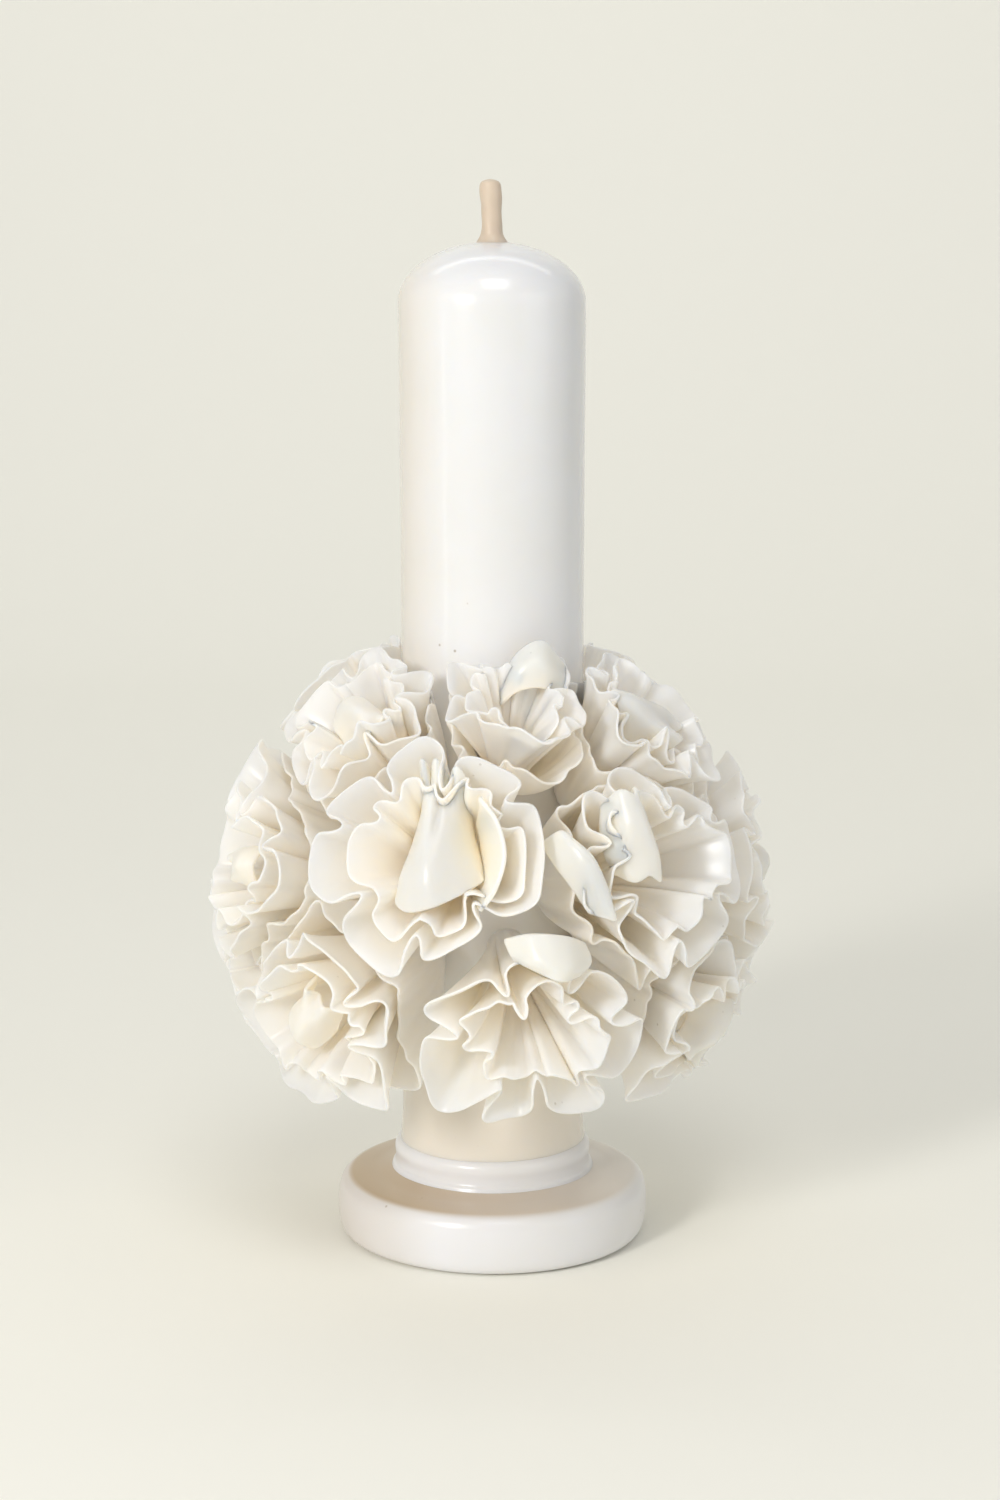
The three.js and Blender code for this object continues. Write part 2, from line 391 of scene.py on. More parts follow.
def bent_rod(centres, radii, sides, wobble):
    """A closed rod round a line of centres, with a wobbling outline."""
    angles = np.arange(sides) * 2 * math.pi / sides
    points = []
    for (x, y, z), r in zip(centres, radii):
        scaled = r * (1 + wobble * np.sin(3 * angles + z))
        ring_x, ring_y = x + scaled * np.cos(angles), y + scaled * np.sin(angles)
        points.extend(np.column_stack([ring_x, ring_y, np.full(sides, z)]))
    points += [centres[0], centres[-1]]
    faces = ring_faces(len(radii), sides) + bottom_fan(len(points) - 2, sides)
    faces += top_fan(len(points) - 1, len(radii), sides)
    return np.array(points, float), faces


wick_wax = wax_material("wick_wax", (214, 199, 182), (203, 185, 163), 0.45, 0.6, scatter=3.0)
wick_shape = smooth_profile(
    [
        (5.2, COLUMN_TOP - 1.0),
        (4.1, COLUMN_TOP + 0.2),
        (3.15, COLUMN_TOP + 2.0),
        (2.85, COLUMN_TOP + 4.5),
        (2.85, COLUMN_TOP + 9.0),
        (3.1, COLUMN_TOP + 13.0),
        (2.8, WICK_TIP - 1.2),
        (1.6, WICK_TIP - 0.3),
        (0.3, WICK_TIP),
    ],
    5,
)
wick_centres = [(-WICK_LEAN * max(z - COLUMN_TOP, 0) ** 2, 0.0, z) for _, z in wick_shape]
wick_points, wick_faces = bent_rod(wick_centres, [r for r, _ in wick_shape], WICK_SIDES, WICK_WOBBLE)
mesh_piece("wick_wax_coat", wick_points, wick_faces, wick_wax, ["wick_coat"])

cotton = bpy.data.materials.new("wick_cotton")
cotton.use_nodes = True
cotton_nodes, cotton_link = cotton.node_tree.nodes, cotton.node_tree.links.new
twist = cotton_nodes.new("ShaderNodeTexWave")
twist.bands_direction = "DIAGONAL"
twist.inputs["Scale"].default_value = 900
twist.inputs["Distortion"].default_value = 1.5
cotton_place = cotton_nodes.new("ShaderNodeTexCoord")
cotton_link(cotton_place.outputs["Object"], twist.inputs["Vector"])
cotton_tone = cotton_nodes.new("ShaderNodeMix")
cotton_tone.data_type = "RGBA"
cotton_tone.inputs["A"].default_value = srgb(196, 178, 146)
cotton_tone.inputs["B"].default_value = srgb(226, 212, 184)
cotton_link(twist.outputs["Fac"], cotton_tone.inputs["Factor"])
cotton_link(cotton_tone.outputs["Result"], cotton_nodes["Principled BSDF"].inputs["Base Color"])
cotton_nodes["Principled BSDF"].inputs["Roughness"].default_value = 0.85
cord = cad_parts["wick_cord"]
cord.data.materials.clear()
cord.data.materials.append(cotton)

# ---- the flowers ----
# Each flower is made of thin dipped wax: an outer cup with broad rounded lobes and pinched folds,
# mostly with a lower, plainer skirt behind it, an inner cup, and a heart of one or two bent petals.
# Rims are rounded and throats deep; a warmer, darker tint deep in each throat is painted shade. The
# flowers sit side by side, held on by melted wax.
BALL_Z = 100.0
CENTRE = np.array([0.0, 0.0, BALL_Z])
CUP_WALL = 1.2
PETAL_THICK = 1.2
CLEAR = 0.5
LOWEST_RIM = 50.0
COLUMN_CLEAR_R = COLUMN_R + 0.5
RIM_CLEAR_R = COLUMN_R + 1.5
TIP_REACH = 78
WIDEST_OPENING = math.radians(34)
LEAST_OPENING = 0.06

# The warmer, darker tints given to petal_wax and heart_wax paint the shade deep in the flowers.
petal_wax = wax_material(
    "petal_wax", (254, 251, 245), (253, 249, 240), 0.33, 0.35, painted_light=(248, 237, 219), scatter=7.0, glow=1.0
)
heart_wax = wax_material(
    "heart_wax", (255, 249, 232), (254, 247, 226), 0.33, 0.2, painted_light=(247, 230, 201), scatter=7.0, glow=1.0
)

# Name, degrees round from the front, degrees up, how far out the rim stands in millimetres, and
# how hard the flower pushes on its neighbours, 1 being evenly.
FLOWERS = [
    ("upper_flower_1", -46, 49, 79.5, 1.0),
    ("upper_flower_2", 9, 56, 79.0, 1.0),
    ("upper_flower_3", 58, 48, 78.5, 1.0),
    ("upper_flower_4", 142, 48, 78.5, 1.0),
    ("upper_flower_5", -131, 48, 80.0, 1.01),
    ("middle_flower_1", -68, 11, 81.0, 1.01),
    ("middle_flower_2", -12, 21, 82.5, 1.045),
    ("middle_flower_3", 38, 17, 80.5, 1.02),
    ("middle_flower_4", 87, 8, 79.0, 1.0),
    ("middle_flower_5", 139, 14, 79.0, 1.0),
    ("middle_flower_6", -170, 12, 80.5, 1.02),
    ("middle_flower_7", -120, 13, 79.0, 1.0),
    ("lower_flower_1", -43, -17, 80.0, 1.01),
    ("lower_flower_2", 8, -16, 80.5, 1.02),
    ("lower_flower_3", 60, -24, 78.0, 0.99),
    ("lower_flower_4", 114, -23, 79.5, 1.01),
    ("lower_flower_5", 172, -24, 78.5, 0.99),
    ("lower_flower_6", -103, -24, 79.5, 1.01),
]


def flower_axes(round_deg, up_deg):
    """A flower's own directions: out along it, level to the right, and upwards."""
    a, e = math.radians(round_deg), math.radians(up_deg)
    out = np.array([math.sin(a) * math.cos(e), -math.cos(a) * math.cos(e), math.sin(e)])
    right = np.array([math.cos(a), math.sin(a), 0.0])
    return out, right, np.cross(out, right)


AXES = {name: flower_axes(turn, rise) for name, turn, rise, _, _ in FLOWERS}
PUSH = {name: push for name, _, _, _, push in FLOWERS}


def open_angle(name, directions):
    """How wide, in radians from its axis, a flower may open in each direction before it meets a
    neighbour's share of the ball, the column or the lowest height of a rim."""
    out, right, up = AXES[name]
    sides = np.outer(np.cos(directions), right) + np.outer(np.sin(directions), up)
    widest = np.full(len(directions), WIDEST_OPENING)
    for other, (other_out, _, _) in AXES.items():
        if other == name:
            continue
        lean = PUSH[other] * sides @ other_out
        gap = PUSH[name] - PUSH[other] * float(out @ other_out)
        meets = np.where(lean > 1e-6, np.arctan2(gap, np.maximum(lean, 1e-6)), math.pi / 2)
        widest = np.minimum(widest, meets)
    for k, side in enumerate(sides):
        while widest[k] > LEAST_OPENING:
            tip = TIP_REACH * (math.cos(widest[k]) * out + math.sin(widest[k]) * side)
            if math.hypot(tip[0], tip[1]) > RIM_CLEAR_R and BALL_Z + tip[2] > LOWEST_RIM:
                break
            widest[k] -= 0.02
    return widest


def closed_curve(controls, count):
    """A smooth closed curve through (degrees, share, lift) controls, evenly spaced along itself.
    Returns x, y as shares of the opening, and the lift, all as arrays of that count."""
    c = np.array([(s * math.cos(math.radians(a)), s * math.sin(math.radians(a)), h) for a, s, h in controls])
    dense = []
    for i in range(len(c)):
        dense += curved_steps(c[i - 1], c[i], c[(i + 1) % len(c)], c[(i + 2) % len(c)], 16)
    looped = np.array([*dense, dense[0]])
    step = np.linalg.norm(np.diff(looped[:, :2], axis=0), axis=1)
    along = np.concatenate([[0], np.cumsum(step)])
    at = np.arange(count) * along[-1] / count
    return np.column_stack([np.interp(at, along, looped[:, k]) for k in range(3)])


def softened(values, width):
    """A closed row of points, each averaged with its neighbours by a bell of that width."""
    reach = int(3 * width) + 1
    bell = np.exp(-0.5 * (np.arange(-reach, reach + 1) / width) ** 2)
    bell /= bell.sum()
    return sum(weight * np.roll(values, k, axis=0) for k, weight in zip(range(-reach, reach + 1), bell))


def folded_rim(lobes, slit=1.7, radius_mm=30.0):
    """Controls for a rim of broad rounded lobes with a narrow pinched fold between each two. A lobe
    is (fold's degrees, fold's share, tip's degrees, tip's share, lift in mm), the fold being the
    one before the tip. slit is half a fold's width in millimetres, between its two walls."""

    def beside(share, spread=1.0):
        return math.degrees(math.atan2(slit * spread, share * radius_mm))

    controls = []
    for k, (start, low, tip, top, up) in enumerate(lobes):
        end, high = lobes[(k + 1) % len(lobes)][:2]
        end += 360 * math.floor((tip - end) / 360 + 1)
        before, after = tip - start, end - tip
        for fold, level, way, room in ((start, low, 1, before), (end, high, -1, after)):
            near, far = level + 0.35 * (top - level), level + 0.78 * (top - level)
            wall = [
                (fold + way * beside(near), near, 0.5),
                (fold + way * max(beside(far, 1.3), 0.2 * room), far, 0.3 * up),
                (tip - way * 0.48 * room, top * 0.985, 0.8 * up),
            ]
            if way > 0:
                controls += [(start, low, 0.8), *wall, (tip, top, up)]
            else:
                controls += wall[::-1]
    return controls


def grown_rim(rng, lobes, outer, inner, turn, lift=3.0, scatter=0.35):
    """The lobes of a rim as they came by chance, for folded_rim. outer and inner are the shares
    that the tips and the folds reach; scatter is how uneven the lobes' widths are."""
    weights = 1 + scatter * (rng.random(lobes) - 0.5) * 2
    edges = turn + 360 * np.cumsum(weights) / weights.sum()
    found = []
    for k, edge in enumerate(edges):
        width = 360 * weights[(k + 1) % lobes] / weights.sum()
        tip = edge + width * (0.5 + 0.12 * (rng.random() - 0.5))
        found.append(
            (
                edge,
                inner * (1 + 0.3 * (rng.random() - 0.5)),
                tip,
                outer * (1 - 0.14 * rng.random()),
                lift * 2 * (rng.random() - 0.5),
            )
        )
    return found


def least_share(controls, around=720):
    """The inside limit of a rim: its least share of the opening at each degree round."""
    curve = closed_curve(controls, around)
    degree = np.round(np.degrees(np.arctan2(curve[:, 1], curve[:, 0]))).astype(int) % 360
    least = np.full(360, np.inf)
    np.minimum.at(least, degree, np.hypot(curve[:, 0], curve[:, 1]))
    for _ in range(5):
        least = np.minimum(least, np.minimum(np.roll(least, 1), np.roll(least, -1)))
    return softened(least, 2.5)


def wax_cup(
    flower,
    controls,
    rng,
    rim_radius,
    bottom,
    stalk,
    sides,
    rows,
    flare,
    droop,
    curl,
    flute,
    inset=0.0,
    within=None,
):
    """A thin fluted cup, from bottom to rim_radius along the flower's axis, with a round stalk.
    controls shape the rim inside the flower's opening, or inside the shares given by within.
    flare and flute are powers: how late the cup opens and how late its flutes begin on the way
    up. droop and curl bend its widest lobes, in millimetres. Both skins, a rounded rim and a
    closed tip make one body. Returns points, faces and how deep in the throat each point is, which
    sets how much painted shade its tint gives."""
    out, right, up = AXES[flower]
    rim = softened(closed_curve(controls, sides), sides / 240)
    direction = np.arctan2(rim[:, 1], rim[:, 0])
    share = np.hypot(rim[:, 0], rim[:, 1])
    if within is not None:
        limit = 0.86 * np.interp(np.degrees(direction) % 360, np.arange(361), np.append(within, within[0]))
        share = softened(np.minimum(share, limit), 1.5)
    table = np.linspace(-math.pi, math.pi, 181)
    widest = softened(open_angle(flower, table[:-1]), 1.6)
    opening = np.interp(direction, table, np.append(widest, widest[0]))
    opening = opening - (CLEAR + CUP_WALL / 2 + inset) / rim_radius
    spread = share * opening
    uneven = softened(rng.standard_normal((sides, 2)), 4.0) * 3.8
    rim_out = rim_radius * np.cos(spread) + rim[:, 2] + 0.8 * uneven[:, 0] - droop * share**3
    rim_side = rim_radius * np.sin(spread) + 0.38 * uneven[:, 1] * share
    x, y = rim_side * np.cos(direction), rim_side * np.sin(direction)
    base = math.atan2(y[0], x[0]) + np.arange(sides) * 2 * math.pi / sides
    middle = []
    for u in np.linspace(0, 1, rows) ** 0.9:
        fluted, size = u**flute, u**flare
        round_r = stalk * (1 - size) + size * (1 - fluted) * rim_side.mean()
        px = x * size * fluted + round_r * np.cos(base)
        py = y * size * fluted + round_r * np.sin(base)
        pz = bottom + (rim_out - bottom) * u + curl * share**2 * math.sin(math.pi * u**5)
        middle.append(CENTRE + np.outer(pz, out) + np.outer(px, right) + np.outer(py, up))
    middle = np.array(middle)
    along = np.gradient(middle, axis=0)
    across = np.roll(middle, -1, axis=1) - np.roll(middle, 1, axis=1)
    normal = np.cross(across, along)
    normal /= np.linalg.norm(normal, axis=2, keepdims=True) + 1e-12
    for _ in range(2):
        normal = (np.roll(normal, 1, axis=1) + 2 * normal + np.roll(normal, -1, axis=1)) / 4
    normal /= np.linalg.norm(normal, axis=2, keepdims=True) + 1e-12
    level = np.linspace(0, 1, rows)
    half = CUP_WALL / 2 * (1 - 0.4 * level[:, None, None] ** 4)
    outside, inside = middle + normal * half, middle - normal * half
    tangent = along[-1] / np.linalg.norm(along[-1], axis=1, keepdims=True)
    edge = [
        middle[-1] + half[-1] * (math.cos(a) * normal[-1] + math.sin(a) * tangent)
        for a in np.radians((30, 60, 90, 120, 150))
    ]
    rings = [*outside, *edge, *inside[::-1]]
    # How deep each ring lies sets its painted shade: most deep inside the throat, a quarter as much on the
    # underside by the stalk, none on the rim.
    deep = [*(1 - level) * 0.25, *[0.0] * len(edge), *(1 - level[::-1])]
    points = np.concatenate([*rings, [CENTRE + out * (bottom - stalk)], [CENTRE + out * (bottom + CUP_WALL)]])
    painted_light = np.clip(np.concatenate([*[np.full(sides, d) for d in deep], [0.25, 1.0]]), 0, 1) ** 1.6
    faces = ring_faces(len(rings), sides) + bottom_fan(len(points) - 2, sides)
    faces += top_fan(len(points) - 1, len(rings), sides)
    from_axis = np.hypot(points[:, 0], points[:, 1])
    pushed = np.maximum(from_axis, COLUMN_CLEAR_R) / np.maximum(from_axis, 1e-6)
    points[:, :2] *= pushed[:, None]
    return points, faces, painted_light


# The four flowers nearest the front have their lobes shaped one by one: the outer cup's, then the
# inner cup's, as folded_rim takes them.
HAND_SHAPED = {
    "middle_flower_2": (
        [
            (-48, 0.6, -5, 0.88, 0.5),
            (36, 0.64, 58, 0.92, 1.5),
            (84, 0.5, 104, 0.97, 2.0),
            (129, 0.6, 149, 0.97, -0.5),
            (168, 0.66, 190, 0.92, 0.0),
            (214, 0.6, 236, 0.97, -1.5),
            (262, 0.6, 286, 0.88, 0.5),
        ],
        [
            (-44, 0.52, -8, 0.76, 1.0),
            (24, 0.5, 44, 0.7, 0.5),
            (62, 0.62, 80, 0.78, 0.0),
            (98, 0.5, 126, 0.66, 0.0),
            (155, 0.46, 188, 0.6, -3.0),
            (222, 0.52, 246, 0.72, -1.5),
            (270, 0.56, 292, 0.74, -0.5),
        ],
    ),
    "upper_flower_2": (
        [
            (206, 0.6, 266, 0.74, 2.0),
            (326, 0.6, 352, 0.95, 0.0),
            (20, 0.6, 46, 0.96, 1.5),
            (72, 0.55, 98, 0.95, 0.0),
            (124, 0.6, 148, 0.97, 2.0),
            (168, 0.6, 187, 0.94, 0.0),
        ],
        [
            (-30, 0.46, 10, 0.66, 0.5),
            (60, 0.5, 95, 0.74, 1.0),
            (135, 0.46, 180, 0.66, 0.0),
            (225, 0.46, 275, 0.56, -2.0),
        ],
    ),
    "middle_flower_3": (
        [
            (-35, 0.55, -8, 0.95, 0.5),
            (22, 0.62, 48, 0.93, -0.5),
            (75, 0.55, 100, 0.92, 1.0),
            (122, 0.52, 140, 0.9, 1.5),
            (157, 0.6, 185, 0.9, 0.0),
            (215, 0.56, 243, 0.95, 1.0),
            (272, 0.6, 300, 0.94, -0.5),
        ],
        [
            (-50, 0.45, -4, 0.72, 2.0),
            (45, 0.4, 80, 0.68, 0.5),
            (118, 0.5, 142, 0.68, 1.5),
            (168, 0.46, 225, 0.66, -1.0),
        ],
    ),
    "lower_flower_2": (
        [
            (241, 0.45, 259, 0.97, 0.5),
            (279, 0.42, 299, 0.92, 0.5),
            (320, 0.52, 342, 0.94, 0.0),
            (368, 0.6, 390, 0.9, -1.0),
            (415, 0.55, 445, 0.95, 2.0),
            (478, 0.6, 505, 0.92, 0.5),
            (535, 0.58, 568, 0.95, 0.0),
        ],
        [
            (-58, 0.34, -20, 0.62, 1.0),
            (30, 0.36, 66, 0.6, 1.5),
            (108, 0.34, 150, 0.62, 0.5),
            (200, 0.32, 262, 0.44, -2.0),
        ],
    ),
}


def fine_rows(rows):
    """A net's rows with eight more, smoothly bent, between each two."""
    padded = np.concatenate([rows[:1] * 2 - rows[1:2], rows, rows[-1:] * 2 - rows[-2:-1]])
    found = []
    for i in range(1, len(padded) - 2):
        found += curved_steps(*padded[i - 1 : i + 3], 9)
    return np.array([*found, rows[-1]])


def wax_petal(flower, net):
    """A single petal bent by hand. net holds rows of (right, up, out) points in millimetres in the
    flower's own directions; they are smoothed into a sheet with two skins and a rounded edge.
    Returns the same as wax_cup."""
    out, right, up = AXES[flower]
    sheet = fine_rows(np.array(net, float))
    sheet = fine_rows(sheet.transpose(1, 0, 2)).transpose(1, 0, 2)
    middle = CENTRE + sheet[..., :1] * right + sheet[..., 1:2] * up + sheet[..., 2:] * out
    down, across = np.gradient(middle, axis=0), np.gradient(middle, axis=1)
    normal = np.cross(across, down)
    normal /= np.linalg.norm(normal, axis=2, keepdims=True)
    tall, wide = middle.shape[:2]
    loop = [(0, k) for k in range(wide)] + [(k, wide - 1) for k in range(1, tall)]
    loop += [(tall - 1, k) for k in range(wide - 2, -1, -1)] + [(k, 0) for k in range(tall - 2, 0, -1)]
    rows, columns = np.array(loop).T
    edge, facing = middle[rows, columns], normal[rows, columns]
    travel = np.roll(edge, -1, axis=0) - np.roll(edge, 1, axis=0)
    outward = np.cross(facing, travel)
    outward /= np.linalg.norm(outward, axis=1, keepdims=True)
    inwards = edge.mean(axis=0) - edge
    outward *= -np.sign((outward * inwards).sum(axis=1).sum())
    half = PETAL_THICK / 2
    rims = [edge + half * (math.cos(a) * facing + math.sin(a) * outward) for a in np.radians((40, 90, 140))]
    skins = [(middle + normal * half).reshape(-1, 3), (middle - normal * half).reshape(-1, 3)]
    points = np.concatenate([*skins, *rims])
    faces, size = [], tall * wide
    for i in range(tall - 1):
        for k in range(wide - 1):
            a, b = i * wide + k, (i + 1) * wide + k
            faces += [(a, b, b + 1, a + 1), (size + a, size + a + 1, size + b + 1, size + b)]
    upper = [i * wide + k for i, k in loop]
    rings = [upper, *[[2 * size + r * len(loop) + k for k in range(len(loop))] for r in range(3)]]
    rings.append([size + k for k in upper])
    for first, second in zip(rings, rings[1:]):
        for k in range(len(loop)):
            n = (k + 1) % len(loop)
            faces.append((first[k], first[n], second[n], second[k]))
    corners = points[np.array([face[:3] for face in faces])] - points.mean(axis=0)
    if np.einsum("ij,ij->i", corners[:, 0], np.cross(corners[:, 1], corners[:, 2])).sum() < 0:
        faces = [face[::-1] for face in faces]
    reach = sheet[..., 2]
    # Parts lying deeper in the flower get more of the tint of painted shade.
    deep = np.clip((74 - reach) / 20, 0, 1) ** 1.3
    painted_light = np.concatenate([deep.ravel(), deep.ravel(), *[deep[rows, columns]] * 3])
    return points, faces, painted_light


# Bent petals for the flowers at the front, given one by one as rows of (right, up, out).
HAND_BENT = {
    "middle_flower_2": [
        [
            [(-7, 21, 69), (-5, 24, 79), (-3, 21, 75), (-1, 24, 80), (2, 20, 75), (5, 22, 81), (8, 17, 74)],
            [(-6, 13, 68), (-4, 14, 76), (-2, 13, 79), (0, 13, 78), (2, 12, 78), (5, 12, 76), (7, 10, 68)],
            [(-8, 3, 67), (-6, 3, 75), (-3, 2, 81), (0, 1, 82), (4, 2, 80), (7, 2, 75), (9, 3, 67)],
            [(-9, -6, 67), (-9, -6, 74), (-6, -8, 80), (0, -8, 83), (6, -6, 80), (10, -4, 75), (11, -2, 68)],
            [
                (-9, -9, 68),
                (-10, -13, 74),
                (-6, -16, 78),
                (1, -15, 81),
                (8, -11, 79),
                (12, -7, 74),
                (12, -5, 69),
            ],
        ],
        [
            [(9, 9, 68), (10, 5, 67), (11, 0, 67), (11, -5, 67), (9, -10, 68)],
            [(11, 12, 75), (14, 6, 76), (16, -1, 76), (15, -8, 76), (12, -13, 75)],
            [(12, 14, 81), (17, 8, 82), (20, -1, 83), (18, -10, 82), (14, -15, 79)],
        ],
    ],
    "middle_flower_3": [
        [
            [(-14, 17, 74), (-12, 20, 80), (-9, 18, 82), (-7, 20, 80), (-5, 16, 73)],
            [(-15, 11, 73), (-13, 11, 81), (-9, 10, 84), (-6, 11, 81), (-3, 10, 74)],
            [(-15, 4, 73), (-13, 3, 79), (-8, 3, 83), (-5, 2, 82), (-2, 3, 74)],
            [(-13, -1, 73), (-11, -4, 78), (-8, -3, 81), (-4, -5, 80), (-2, -1, 74)],
        ],
        [
            [(-30, 10, 66), (-28, 12, 72), (-26, 10, 73), (-24, 11, 68)],
            [(-30, 4, 70), (-27, 5, 77), (-24, 4, 78), (-22, 4, 72)],
            [(-27, -3, 72), (-25, -3, 78), (-22, -4, 79), (-20, -4, 74)],
            [(-24, -10, 73), (-22, -12, 77), (-20, -13, 78), (-19, -10, 75)],
        ],
    ],
    "lower_flower_2": [
        [
            [(-7, 26, 72), (-1, 30, 77), (8, 29, 77), (14, 24, 72)],
            [(-6, 24, 75), (0, 25, 82), (8, 24, 83), (15, 21, 76)],
            [(-5, 23, 77), (0, 22, 81), (6, 21, 85), (12, 19, 79)],
        ]
    ],
    "upper_flower_2": [
        [
            [(-3, 6, 70), (1, 5, 76), (8, 5, 77), (14, 6, 71)],
            [(-3, 9, 72), (1, 9, 80), (8, 9, 82), (15, 9, 74)],
            [(-1, 14, 74), (3, 15, 81), (9, 16, 83), (15, 14, 76)],
        ]
    ],
}

# A folded petal, as the same kind of rows, that stands in the middle of each other flower.
TONGUE = [
    [(-8, 12, 69), (-5, 14, 77), (-1, 12, 74), (4, 14, 78), (8, 11, 69)],
    [(-8, 4, 68), (-6, 4, 77), (0, 4, 80), (5, 4, 77), (8, 3, 68)],
    [(-9, -5, 68), (-7, -7, 76), (0, -8, 81), (7, -7, 76), (9, -4, 68)],
    [(-8, -9, 69), (-6, -13, 74), (0, -15, 77), (7, -12, 75), (9, -8, 69)],
]


def grown_petal(rng):
    """The tongue turned about the flower's axis, scaled and made uneven, as a net for wax_petal."""
    turn, size = rng.random() * 2 * math.pi, 0.62 + 0.3 * rng.random()
    net = np.array(TONGUE, float) + rng.normal(0, 0.7, (len(TONGUE), len(TONGUE[0]), 3))
    x, y = net[..., 0] * size, net[..., 1] * size
    turned_x = x * math.cos(turn) - y * math.sin(turn)
    turned_y = x * math.sin(turn) + y * math.cos(turn)
    return np.stack([turned_x, turned_y, 76 + (net[..., 2] - 76) * size], axis=-1)


def joined(shapes):
    """Several cups or petals as one mesh."""
    points, faces, painted_light, start = [], [], [], 0
    for shape_points, shape_faces, shape_depth in shapes:
        points.append(shape_points)
        faces += [tuple(k + start for k in face) for face in shape_faces]
        painted_light.append(shape_depth)
        start += len(shape_points)
    return np.concatenate(points), faces, np.concatenate(painted_light)


WITHOUT_SKIRT = ("middle_flower_2", "lower_flower_2")

for number, (flower, _, rise, rim_radius, _) in enumerate(FLOWERS):
    rng = np.random.default_rng(40 + number)
    seat = COLUMN_R / math.cos(math.radians(rise)) + 3
    turn = float(rng.random() * 360)
    outer_lobes, inner_lobes = HAND_SHAPED.get(flower) or (
        grown_rim(rng, 6, 0.98, 0.6, turn),
        grown_rim(rng, 5, 0.72, 0.48, turn + 20, scatter=0.4),
    )
    skirt_rim = folded_rim(grown_rim(rng, 9, 1.0, 0.97, turn + 30, lift=1.2, scatter=0.25))
    skirt = wax_cup(
        flower,
        skirt_rim,
        rng,
        rim_radius - 9.5,
        bottom=seat - 1,
        stalk=6.5,
        sides=300,
        rows=18,
        flare=0.7,
        droop=0.0,
        curl=0.5,
        flute=0.2,
    )
    outer_rim = folded_rim(outer_lobes)
    outer = wax_cup(
        flower,
        outer_rim,
        rng,
        rim_radius,
        bottom=seat,
        stalk=5.0,
        sides=320,
        rows=26,
        flare=1.3,
        droop=2.0,
        curl=1.5,
        flute=0.3,
        inset=1.9,
    )
    inner = wax_cup(
        flower,
        folded_rim(inner_lobes),
        rng,
        rim_radius,
        bottom=seat + 8,
        stalk=3.4,
        sides=260,
        rows=26,
        flare=1.3,
        droop=2.0,
        curl=1.0,
        flute=0.4,
        inset=1.9,
        within=least_share(outer_rim),
    )
    heart = joined([wax_petal(flower, net) for net in HAND_BENT.get(flower) or [grown_petal(rng)]])
    for part, material, slot_name, (points, faces, painted_light) in (
        ("outer_cup", petal_wax, "petal_wax", outer if flower in WITHOUT_SKIRT else joined([skirt, outer])),
        ("inner_cup", petal_wax, "petal_wax", inner),
        ("heart", heart_wax, "heart_wax", heart),
    ):
        mesh_piece(f"{flower}_{part}_wax", points, faces, material, [f"{flower}_{part}"], painted_light)

# ---- the studio ----
# A pale floor that sweeps up into a backdrop, a soft light from the front left, a weaker cool one
# from the right, a wide one from high in front, one on the backdrop, a thin strip at the left,
# and a camera a little above the candle that looks slightly down.
backdrop_paint = bpy.data.materials.new("backdrop_paint")
backdrop_paint.use_nodes = True
paint_nodes, paint_link = backdrop_paint.node_tree.nodes, backdrop_paint.node_tree.links.new
paint_grain = paint_nodes.new("ShaderNodeTexNoise")
paint_grain.inputs["Scale"].default_value = 3
paint_tone = paint_nodes.new("ShaderNodeMix")
paint_tone.data_type = "RGBA"
paint_tone.inputs["A"].default_value = srgb(243, 242, 234)
paint_tone.inputs["B"].default_value = srgb(245, 244, 237)
paint_link(paint_grain.outputs["Fac"], paint_tone.inputs["Factor"])
paint_link(paint_tone.outputs["Result"], paint_nodes["Principled BSDF"].inputs["Base Color"])
paint_nodes["Principled BSDF"].inputs["Roughness"].default_value = 0.9
paint_nodes["Principled BSDF"].inputs["Specular IOR Level"].default_value = 0.1

SWEEP_R = 0.7
BACKDROP_Y = 1.7
BACKDROP_H = 2.2
BACKDROP_HALF_W = 2.2
FLOOR_FRONT_Y = -1.6
sweep_y = BACKDROP_Y - SWEEP_R
sweep = [(FLOOR_FRONT_Y, 0.0), (sweep_y, 0.0)]
for a in np.radians(np.arange(3, 91, 3)):
    sweep.append((sweep_y + SWEEP_R * math.sin(a), SWEEP_R - SWEEP_R * math.cos(a)))
sweep.append((BACKDROP_Y, BACKDROP_H))
sweep_points = [(x, y, z) for y, z in sweep for x in (-BACKDROP_HALF_W, BACKDROP_HALF_W)]
sweep_faces = [(2 * i, 2 * i + 1, 2 * i + 3, 2 * i + 2) for i in range(len(sweep) - 1)]
floor_mesh = bpy.data.meshes.new("studio_floor")
floor_mesh.from_pydata(sweep_points, [], sweep_faces)
floor_mesh.polygons.foreach_set("use_smooth", [True] * len(floor_mesh.polygons))
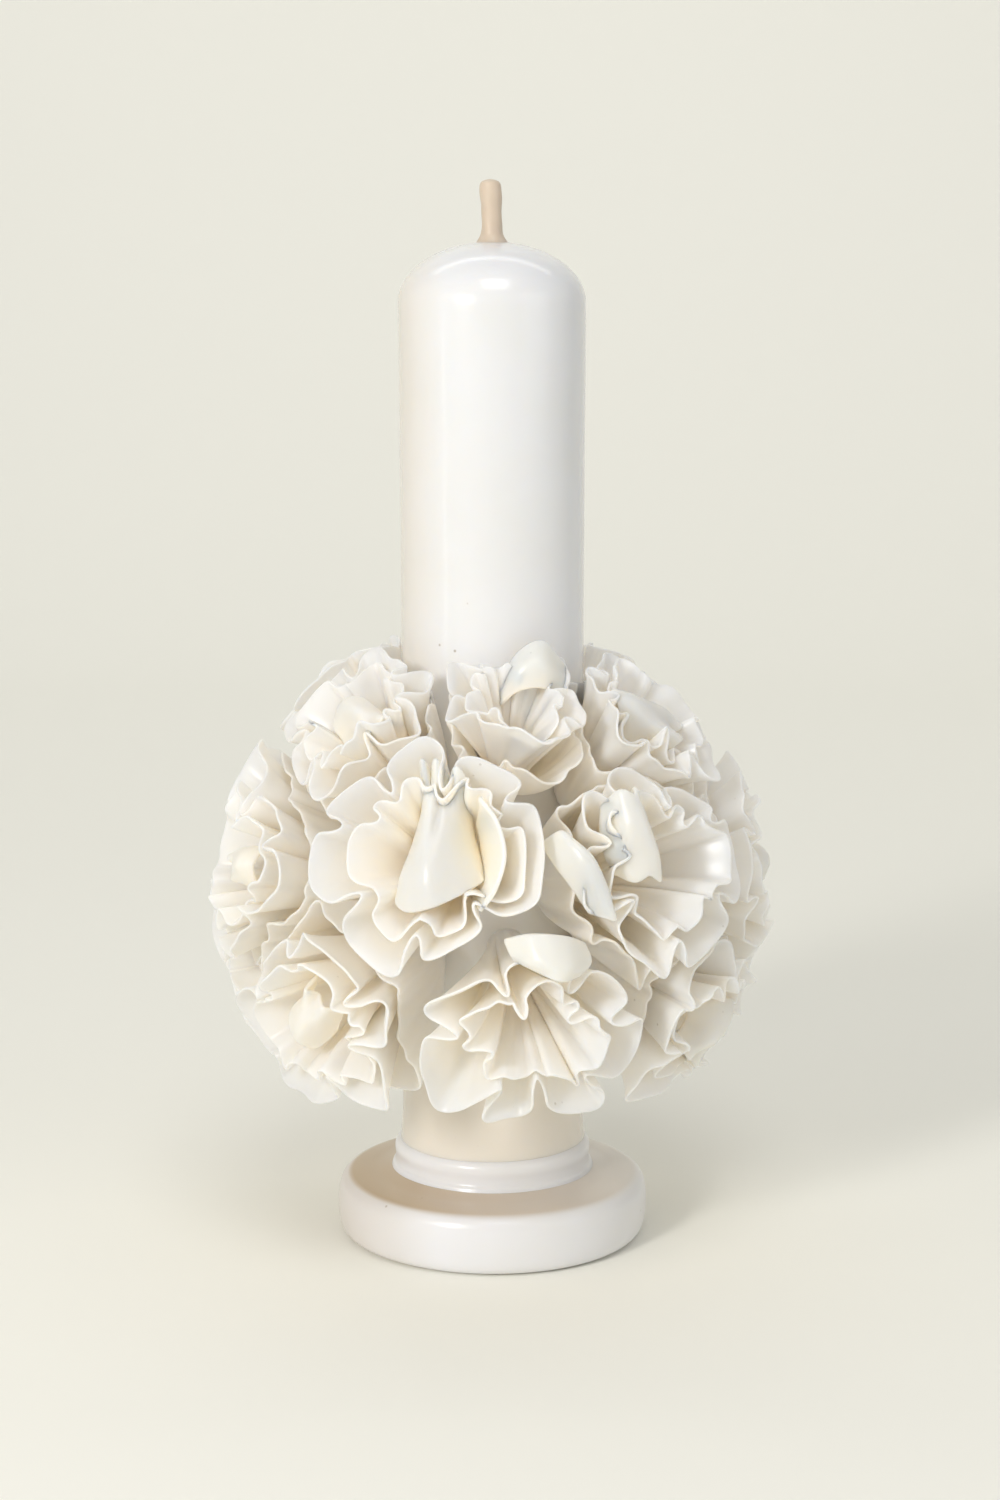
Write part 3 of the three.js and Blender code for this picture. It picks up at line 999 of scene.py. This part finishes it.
floor_mesh.materials.append(backdrop_paint)
floor = bpy.data.objects.new("studio_floor", floor_mesh)
bpy.context.scene.collection.objects.link(floor)


def soft_light(name, place, target, width, height, watts, colour):
    """A rectangular light, sized in metres, that faces its target."""
    light = bpy.data.lights.new(name, "AREA")
    light.shape = "RECTANGLE"
    light.size, light.size_y = width, height
    light.energy = watts
    light.color = colour
    holder = bpy.data.objects.new(name, light)
    holder.location = place
    holder.rotation_euler = (Vector(target) - Vector(place)).to_track_quat("-Z", "Y").to_euler()
    bpy.context.scene.collection.objects.link(holder)


soft_light("key", (-0.75, -1.15, 0.62), (0, 0, 0.14), 0.24, 0.4, 10.0, (1.0, 0.98, 0.95))
soft_light("fill", (1.2, -0.9, 0.6), (0, 0, 0.12), 1.0, 1.0, 2.2, (0.93, 0.95, 1.0))
soft_light("backdrop", (0, 0.8, 1.7), (0, 1.7, 0.5), 2.4, 0.5, 8.4, (1.0, 0.99, 0.96))
soft_light("strip", (-0.8, -0.45, 0.35), (0, 0, 0.17), 0.05, 0.9, 0.3, (1.0, 0.96, 0.9))
soft_light("front", (0.1, -0.95, 1.7), (0, 0, 0.12), 0.8, 0.8, 7.3, (1.0, 0.99, 0.97))

world = bpy.data.worlds.new("studio")
world.use_nodes = True
world.node_tree.nodes["Background"].inputs["Color"].default_value = srgb(240, 240, 238)
world.node_tree.nodes["Background"].inputs["Strength"].default_value = 0.47
bpy.context.scene.world = world
bpy.context.scene.view_settings.view_transform = "Standard"
bpy.context.scene.cycles.max_bounces = 20
bpy.context.scene.cycles.diffuse_bounces = 16

CAMERA_TILT = 10.07
camera_data = bpy.data.cameras.new("camera")
camera_data.lens = 72.4
camera_data.sensor_fit = "VERTICAL"
camera_data.sensor_height = 36.0
camera = bpy.data.objects.new("camera", camera_data)
camera.location = (2.2 * MM, -850 * MM, 293.4 * MM)
camera.rotation_euler = (math.radians(90 - CAMERA_TILT), 0, 0)
bpy.context.scene.collection.objects.link(camera)
bpy.context.scene.camera = camera
